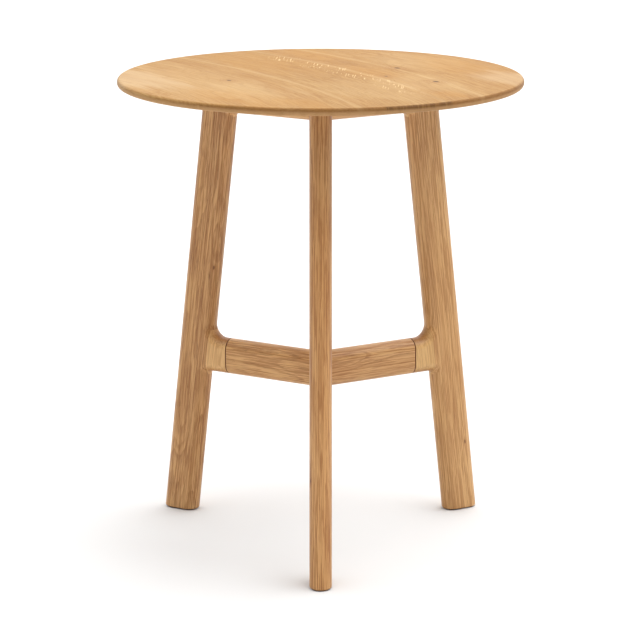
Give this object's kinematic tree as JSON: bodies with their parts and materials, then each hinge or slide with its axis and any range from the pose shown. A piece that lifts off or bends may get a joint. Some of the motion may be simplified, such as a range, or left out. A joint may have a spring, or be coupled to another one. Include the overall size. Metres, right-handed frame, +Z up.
{
  "type": "round three-legged table",
  "caption": "Round wooden table with splayed legs that run up to the top, braced by Y-shaped frames of rounded arms under the top and low between the legs.",
  "frame": {"origin": "on the floor, under the centre of the round top", "axes": "+Z up, -Y from the centre towards the front leg, +X towards the right"},
  "size_m": [0.65, 0.65, 0.763],
  "materials": {
    "oak_top": "satin oiled oak boards",
    "oak_frame": "satin oiled oak",
    "oak_tenon": "raw oak, glued in",
    "steel_screw": "zinc plated",
    "nylon_glide": "matt"
  },
  "bodies": {
    "root": {"foot_glide_front": "nylon_glide", "foot_glide_rear_left": "nylon_glide", "foot_glide_rear_right": "nylon_glide", "leg_front": "oak_frame", "leg_rear_left": "oak_frame", "leg_rear_right": "oak_frame", "lower_arm_front": "oak_frame", "lower_arm_rear_left": "oak_frame", "lower_arm_rear_right": "oak_frame", "lower_centre_tenon_front": "oak_tenon", "lower_centre_tenon_rear_left": "oak_tenon", "lower_centre_tenon_rear_right": "oak_tenon", "lower_joint_tenon_front": "oak_tenon", "lower_joint_tenon_rear_left": "oak_tenon", "lower_joint_tenon_rear_right": "oak_tenon", "lower_stub_front": "oak_frame", "lower_stub_rear_left": "oak_frame", "lower_stub_rear_right": "oak_frame", "top_screw_front_inner": "steel_screw", "top_screw_front_outer": "steel_screw", "top_screw_rear_left_inner": "steel_screw", "top_screw_rear_left_outer": "steel_screw", "top_screw_rear_right_inner": "steel_screw", "top_screw_rear_right_outer": "steel_screw", "top_stave_1": "oak_top", "top_stave_2": "oak_top", "top_stave_3": "oak_top", "top_stave_4": "oak_top", "top_stave_5": "oak_top", "top_stave_6": "oak_top", "top_stave_7": "oak_top", "upper_arm_front": "oak_frame", "upper_arm_rear_left": "oak_frame", "upper_arm_rear_right": "oak_frame", "upper_centre_tenon_front": "oak_tenon", "upper_centre_tenon_rear_left": "oak_tenon", "upper_centre_tenon_rear_right": "oak_tenon", "upper_joint_tenon_front": "oak_tenon", "upper_joint_tenon_rear_left": "oak_tenon", "upper_joint_tenon_rear_right": "oak_tenon", "upper_stub_front": "oak_frame", "upper_stub_rear_left": "oak_frame", "upper_stub_rear_right": "oak_frame"}
  },
  "joints": []
}
